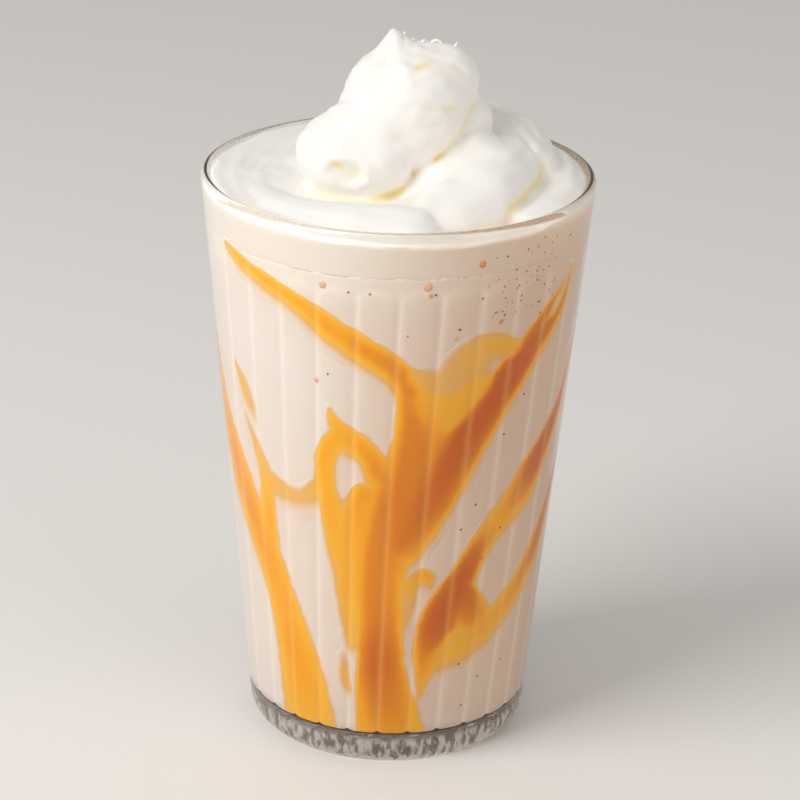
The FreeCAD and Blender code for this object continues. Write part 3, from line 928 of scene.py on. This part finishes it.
# %% Shader helpers
class Value:
    """A number in a shader that Python can add, subtract, multiply and divide."""

    def __init__(self, tree, socket):
        self.tree, self.socket = tree, socket

    def maths(self, operation, *others):
        """A Math node whose sockets take values or plain numbers."""
        node = self.tree.nodes.new("ShaderNodeMath")
        node.operation = operation
        for slot, other in enumerate(others):
            if isinstance(other, Value):
                self.tree.links.new(other.socket, node.inputs[slot])
            else:
                node.inputs[slot].default_value = other
        return Value(self.tree, node.outputs[0])

    def __add__(self, other):
        return self.maths("ADD", self, other)

    def __sub__(self, other):
        return self.maths("SUBTRACT", self, other)

    def __rsub__(self, other):
        return self.maths("SUBTRACT", other, self)

    def __mul__(self, other):
        return self.maths("MULTIPLY", self, other)

    def __truediv__(self, other):
        return self.maths("DIVIDE", self, other)

    __radd__ = __add__
    __rmul__ = __mul__

    def clamped(self):
        return self.maths("MINIMUM", self.maths("MAXIMUM", self, 0.0), 1.0)


class Material:
    """A material whose nodes are made by one method."""

    def __init__(self, name):
        self.material = bpy.data.materials.new(name)
        self.material.use_nodes = True
        self.tree = self.material.node_tree
        self.tree.nodes.clear()

    def add(self, kind, settings=None, inputs=None, output=0):
        """Any node: its type, its settings, and a value or a link for each socket."""
        node = self.tree.nodes.new("ShaderNode" + kind)
        for name, value in (settings or {}).items():
            if name == "stops":
                self.set_stops(node.color_ramp, value)
            else:
                setattr(node, name, value)
        for name, value in (inputs or {}).items():
            if isinstance(value, Value):
                self.tree.links.new(value.socket, node.inputs[name])
            else:
                node.inputs[name].default_value = value
        return Value(self.tree, node.outputs[output])

    @staticmethod
    def set_stops(ramp, stops):
        """Stops are (place, colour) pairs, lowest first."""
        while len(ramp.elements) < len(stops):
            ramp.elements.new(1.0)
        for element, (place, colour) in zip(ramp.elements, stops):
            element.position = place
            element.color = colour

    def blend(self, share, first, second):
        """A colour between two, by a share from 0 to 1.  MixRGB's sockets go by number."""
        return self.add("Mix", {"data_type": "RGBA"}, {0: share, 6: first, 7: second}, output=2)

    def finish(self, surface):
        """Join the surface to the output."""
        output = self.tree.nodes.new("ShaderNodeOutputMaterial")
        self.tree.links.new(surface.socket, output.inputs["Surface"])
        return self.material


def colour(red, green, blue):
    """A colour from the 0 to 255 numbers of a colour picker, in the renderer's linear light."""
    linear = [(c / 255 / 12.92) if c <= 10 else ((c / 255 + 0.055) / 1.055) ** 2.4
              for c in (red, green, blue)]
    return (*linear, 1.0)


def from_axis(made, place):
    """The distance from the glass's axis, in mm."""
    flat = made.add("Mapping", inputs={"Vector": place, "Scale": (1, 1, 0)})
    return made.add("VectorMath", {"operation": "LENGTH"}, {0: flat}, output="Value") / MM


def wear(piece, material):
    """Give a piece its one material and the body that it rides on."""
    piece.data.materials.clear()
    piece.data.materials.append(material)
    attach(piece, "root")


# %% [markdown]
# Glass bends light, so direct lamp light can't find its way to what is behind it.  Light Path
# tells a ray on its way to a lamp from the others, and those rays pass straight through.
#
# The heel of a pressed glass is crinkled and gathers light in small glints.  Here a bump, made of
# noise drawn out upwards, bends the light low in the glass.  The glints are painted: the same
# noise mixes a paler shader in, on the outside of the base only.

# %% Glass material
GLASS_TINT = (0.97, 0.985, 0.98, 1)
SHADOW_TINT = (0.96, 0.975, 0.97, 1)
GLASS_IOR = 1.5
BASE_FADE = 1.5
CRINKLES_PER_METRE = 640.0
CRINKLE_DRAWN_UP = 0.4
CRINKLE_DEPTH = 0.5
GLINT = colour(226, 217, 208)
GLINT_ROUGHNESS = 0.3
GLINT_SHARE = 0.5
GLINT_FROM = 0.42
GLINT_GAIN = 7
GLINT_BAND = 4
GLINT_FADE = 2


def glass_material():
    """Clear glass that lets lamp light through, crinkled in its base."""
    made = Material("clear_glass")
    place = made.add("TexCoord", output="Object")
    level = made.add("SeparateXYZ", inputs={"Vector": place}, output="Z")
    drawn_up = made.add("Mapping", inputs={
        "Vector": place, "Scale": (1, 1, CRINKLE_DRAWN_UP)})
    crinkle = made.add("TexNoise", inputs={
        "Vector": drawn_up, "Scale": CRINKLES_PER_METRE, "Detail": 2.0})
    in_base = ((FLOOR - level / MM) / BASE_FADE).clamped()
    bump = made.add("Bump", inputs={
        "Height": crinkle * in_base, "Distance": CRINKLE_DEPTH * MM})
    glass = made.add("BsdfPrincipled", inputs={
        "Base Color": GLASS_TINT, "Roughness": 0.0, "IOR": GLASS_IOR,
        "Transmission Weight": 1.0, "Normal": bump})
    outside = ((from_axis(made, place) - FOOT_RADIUS + GLINT_BAND) / GLINT_FADE).clamped()
    glint = made.add("BsdfPrincipled", inputs={
        "Base Color": GLINT, "Roughness": GLINT_ROUGHNESS, "Normal": bump})
    sparkle = ((crinkle - GLINT_FROM) * GLINT_GAIN).clamped() * in_base * outside * GLINT_SHARE
    sparkling = made.add("MixShader", inputs={0: sparkle, 1: glass, 2: glint})
    clear = made.add("BsdfTransparent", inputs={"Color": SHADOW_TINT})
    to_lamp = made.add("LightPath", output="Is Shadow Ray")
    return made.finish(made.add("MixShader", inputs={0: to_lamp, 1: sparkling, 2: clear}))


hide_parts("glass")
wear(tumbler, glass_material())
print("glass refractive index", GLASS_IOR)

# %% [markdown]
# The drink is cream, milk and banana: a warm pale beige, paler at the top where cream has mixed
# in.  Towards its +X side, away from the key light, it is painted tanner and darker, which is
# painted shade.  The caramel's thin edges show the drink through, so both read the same drink
# colour, and a ramp turns the sauce's thickness into its colour.
#
# Two more marks are painted light and shade, because the lamps alone don't bring them out here: a
# painted highlight, the pale line along each ridge, and painted shade, the thin dark line where the
# drink meets the thick base.

# %% Drink and caramel materials
SHAKE = colour(234, 224, 217)
SHAKE_PALE = colour(240, 230, 220)
SHAKE_MOTTLE = colour(230, 215, 204)
CLOUDS_PER_METRE = 60.0
PALE_DEPTH = 9
PALE_RAGGED = 0.9
# Painted shade: the drink's +X side, away from the key light, turns tanner and darker.
SHADED_SIDE_TAN = colour(218, 172, 128)
SHADED_SIDE_SHARE = 0.5
SHADED_SIDE_FROM = 16
SHADED_SIDE_WIDTH = 46
SHADED_SIDE_RAGGED = 0.3
# A painted highlight: a pale line along each ridge of the drink.
RIDGE_HIGHLIGHT = colour(250, 244, 236)
RIDGE_HIGHLIGHT_SHARE = 0.4
# Painted shade: a thin dark line where the drink meets the thick base.
EDGE_SHADE = colour(72, 52, 34)
EDGE_HEIGHT = 0.45
EDGE_FADE = 0.2
SIDE_BAND = 0.5
SIDE_FADE = 0.3


def shake_colour_and_light(made):
    """The drink's colour from the place on it, with painted shade on its +X side and a painted
    highlight along the ridges.
    """
    place = made.add("TexCoord", output="Object")
    level = made.add("SeparateXYZ", inputs={"Vector": place}, output="Z")
    cloud = made.add("TexNoise", inputs={
        "Vector": place, "Scale": CLOUDS_PER_METRE, "Detail": 3.0})
    above = (level / MM - (FILL - PALE_DEPTH)) / PALE_DEPTH
    fade = (above + (cloud - 0.5) * PALE_RAGGED).clamped()
    mottle = (cloud * 0.5).clamped()
    body = made.blend(mottle, SHAKE, SHAKE_MOTTLE)
    body = made.blend(fade, body, SHAKE_PALE)
    side = made.add("SeparateXYZ", inputs={"Vector": place}, output="X")
    # Painted shade, growing towards +X.
    tan = ((side / MM + SHADED_SIDE_FROM) / SHADED_SIDE_WIDTH + (cloud - 0.5) * SHADED_SIDE_RAGGED).clamped()
    body = made.blend(tan * SHADED_SIDE_SHARE, body, SHADED_SIDE_TAN)
    # Painted highlight along the ridges.
    ridge = made.add("Attribute", {"attribute_name": "ridge"}, output="Fac")
    return made.blend((ridge * RIDGE_HIGHLIGHT_SHARE).clamped(), body, RIDGE_HIGHLIGHT)


def with_edge_shade(made, body):
    """A thin line of painted shade, higher at each ridge, where the drink meets the glass's base.
    """
    place = made.add("TexCoord", output="Object")
    level = made.add("SeparateXYZ", inputs={"Vector": place}, output="Z")
    ridge = made.add("Attribute", {"attribute_name": "ridge"}, output="Fac")
    rise = ((EDGE_HEIGHT * (1 + ridge) - (level / MM - FLOOR)) / EDGE_FADE).clamped()
    at_wall = ((from_axis(made, place) - INNER_FLOOR + SIDE_BAND) / SIDE_FADE).clamped()
    return made.blend(rise * at_wall, body, EDGE_SHADE)


SAUCE_STOPS = [
    (0.0, colour(236, 206, 166)), (0.14, colour(232, 184, 114)), (0.32, colour(250, 188, 44)),
    (0.45, colour(250, 174, 16)), (0.58, colour(238, 150, 0)), (0.7, colour(224, 134, 0)),
    (0.85, colour(216, 114, 0)), (1.0, colour(210, 101, 0))]
# A painted highlight: a pale line along each ridge over the sauce.
SAUCE_RIDGE_HIGHLIGHT = colour(255, 205, 120)
SAUCE_RIDGE_HIGHLIGHT_SHARE = 0.25
SAUCE_COVER = 6
GRAIN_DRAWN_UP = 0.18
GRAINS_PER_METRE = 260.0
GRAIN_SHARE = 0.12
GRAIN_FROM = 4


def drink_material():
    """A soft, almost matt skin in the drink's colour."""
    made = Material("milkshake")
    skin = made.add("BsdfPrincipled", inputs={
        "Base Color": with_edge_shade(made, shake_colour_and_light(made)), "Roughness": 0.5, "IOR": 1.36,
        "Specular IOR Level": 0.1})
    return made.finish(skin)


def caramel_material():
    """Sauce that is amber where thin and browner where thick, over the drink's colour, with a
    painted highlight along the ridges.
    """
    made = Material("caramel")
    thick = made.add("Attribute", {"attribute_name": "thick"}, output="Fac")
    place = made.add("TexCoord", output="Object")
    streak = made.add("Mapping", inputs={"Vector": place, "Scale": (1, 1, GRAIN_DRAWN_UP)})
    grain = made.add("TexNoise", inputs={
        "Vector": streak, "Scale": GRAINS_PER_METRE, "Detail": 2.0})
    uneven = (grain - 0.5) * GRAIN_SHARE * (thick * GRAIN_FROM).clamped()
    depth = (thick + uneven).clamped()
    sauce_colour = made.add("ValToRGB", {"stops": SAUCE_STOPS}, {"Fac": depth})
    ridge = made.add("Attribute", {"attribute_name": "ridge"}, output="Fac")
    # Painted highlight along the ridges.
    sauce_highlighted = made.blend((ridge * SAUCE_RIDGE_HIGHLIGHT_SHARE).clamped(), sauce_colour, SAUCE_RIDGE_HIGHLIGHT)
    cover = (thick * SAUCE_COVER).clamped()
    body = made.blend(cover, shake_colour_and_light(made), sauce_highlighted)
    skin = made.add("BsdfPrincipled", inputs={
        "Base Color": with_edge_shade(made, body),
        "Roughness": 0.4, "IOR": 1.45, "Specular IOR Level": 0.03})
    return made.finish(skin)


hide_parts("milkshake")
wear(drink, drink_material())
wear(caramel, caramel_material())
print("sauce colours", len(SAUCE_STOPS))

# %% Materials of the specks, drops and beads
DROP_TINT = colour(224, 150, 84)
BEAD_TINT = colour(226, 184, 152)
SPECK_TINT = colour(138, 108, 82)
WET, DRY = 0.4, 0.6


def plain_material(name, tint, roughness):
    """One even colour with a weak shine."""
    made = Material(name)
    skin = made.add("BsdfPrincipled", inputs={
        "Base Color": tint, "Roughness": roughness, "Specular IOR Level": 0.1})
    return made.finish(skin)


wear(drops, plain_material("caramel_drops", DROP_TINT, WET))
wear(beads, plain_material("beads", BEAD_TINT, WET))
wear(specks, plain_material("specks", SPECK_TINT, DRY))
print("small pieces coloured", [piece.name for piece in (drops, beads, specks)])

# %% [markdown]
# Whipped cream is matt and lets a little light through, so its skin scatters some light under the
# surface.  Its creases are painted butter yellow, which is painted shade.  Near the drink it takes
# the drink's colour, so that the two pieces blend behind the glass where they meet.

# %% Cream material
CREAM = colour(252, 249, 244)
# Painted shade: the butter yellow of the creases.
CREASE_SHADE = colour(252, 226, 150)
BLEND_DROP = 1.5
BLEND_DEPTH = 3
SCATTER_TINT = (1.0, 0.75, 0.5)
SCATTER_REACH = 0.002


def cream_material():
    """Matt cream, with painted butter-yellow shade in its creases, and drink-coloured at its foot.
    """
    made = Material("whipped_cream")
    crease = made.add("Attribute", {"attribute_name": "crease"}, output="Fac")
    place = made.add("TexCoord", output="Object")
    level = made.add("SeparateXYZ", inputs={"Vector": place}, output="Z")
    # Painted shade: creases turn butter yellow.
    body = made.blend(crease, CREAM, CREASE_SHADE)
    low = ((HEIGHT - BLEND_DROP - level / MM) / BLEND_DEPTH).clamped()
    skin = made.add("BsdfPrincipled", inputs={
        "Base Color": made.blend(low, body, shake_colour_and_light(made)), "Roughness": 0.5, "IOR": 1.4,
        "Subsurface Weight": 0.25, "Subsurface Radius": SCATTER_TINT,
        "Subsurface Scale": SCATTER_REACH})
    return made.finish(skin)


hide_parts("whipped_cream")
whipped_material = cream_material()
wear(whipped, whipped_material)
wear(peaks, whipped_material)
print("cream scatters light over about", SCATTER_REACH / MM, "mm")

# %% [markdown]
# ## Stage, light and camera
#
# A plain pale floor and a big soft light from the upper left, with a weaker, warmer one from the
# right to fill.  Places and sides of the lights are in metres.

# %% Stage
BACKDROP = colour(242, 240, 237)
FLOOR_REACH = 3000
SKY_TINT = (1.0, 0.99, 0.975, 1)
SKY_STRENGTH = 0.45
AIM = (0, 0, 0.1)
LIGHTS = {
    "key": {"place": (-0.7, -0.45, 0.75), "side": 0.6, "watts": 6.9, "tint": (1.0, 0.985, 0.96)},
    "fill": {"place": (0.8, -0.6, 0.4), "side": 0.8, "watts": 2.2, "tint": (1.0, 0.92, 0.82)},
}


def stage_material():
    """The floor's matt finish."""
    made = Material("stage")
    matt = made.add("BsdfDiffuse", inputs={"Color": BACKDROP})
    return made.finish(matt)


def make_floor():
    """A wide flat floor, which isn't part of the piece."""
    bm = bmesh.new()
    bmesh.ops.create_grid(bm, x_segments=1, y_segments=1, size=FLOOR_REACH)
    piece = to_object(bm, "floor", smooth=False)
    piece.data.materials.append(stage_material())


def make_world():
    """Even pale light from all round."""
    world = bpy.data.worlds.new("studio")
    bpy.context.scene.world = world
    world.use_nodes = True
    back = world.node_tree.nodes["Background"]
    back.inputs["Color"].default_value = SKY_TINT
    back.inputs["Strength"].default_value = SKY_STRENGTH


def area_light(name, place, side, watts, tint):
    """A square soft light that points at the glass."""
    lamp = bpy.data.lights.new(name, "AREA")
    lamp.shape = "SQUARE"
    lamp.size = side
    lamp.energy = watts
    lamp.color = tint
    piece = bpy.data.objects.new(name, lamp)
    piece.location = place
    piece.rotation_euler = (Vector(AIM) - Vector(place)).to_track_quat("-Z", "Y").to_euler()
    bpy.context.scene.collection.objects.link(piece)


make_floor()
make_world()
for light, settings in LIGHTS.items():
    area_light(light, **settings)
print("lights", list(LIGHTS))

# %% [markdown]
# The camera looks down a little, from the front, through a long lens, and is rolled slightly.

# %% Camera
CAMERA_PLACE = Vector((1.6, -681.3, 361.3)) * MM
CAMERA_PITCH = 22.28
CAMERA_ROLL = 1.43
CAMERA_LENS = 138.0
SENSOR_WIDTH = 36
NEAREST = 0.01


def make_camera():
    """The camera at its place, pitched down and rolled."""
    lens = bpy.data.cameras.new("camera")
    lens.lens = CAMERA_LENS
    lens.sensor_width = SENSOR_WIDTH
    lens.clip_start = NEAREST
    piece = bpy.data.objects.new("camera", lens)
    look = Matrix.Rotation(math.radians(90 - CAMERA_PITCH), 4, "X")
    roll = Matrix.Rotation(math.radians(CAMERA_ROLL), 4, "Z")
    piece.matrix_world = Matrix.Translation(CAMERA_PLACE) @ look @ roll
    bpy.context.scene.collection.objects.link(piece)
    bpy.context.scene.camera = piece


make_camera()
bpy.context.scene.view_settings.view_transform = "Standard"
print("camera lens", CAMERA_LENS, "mm")
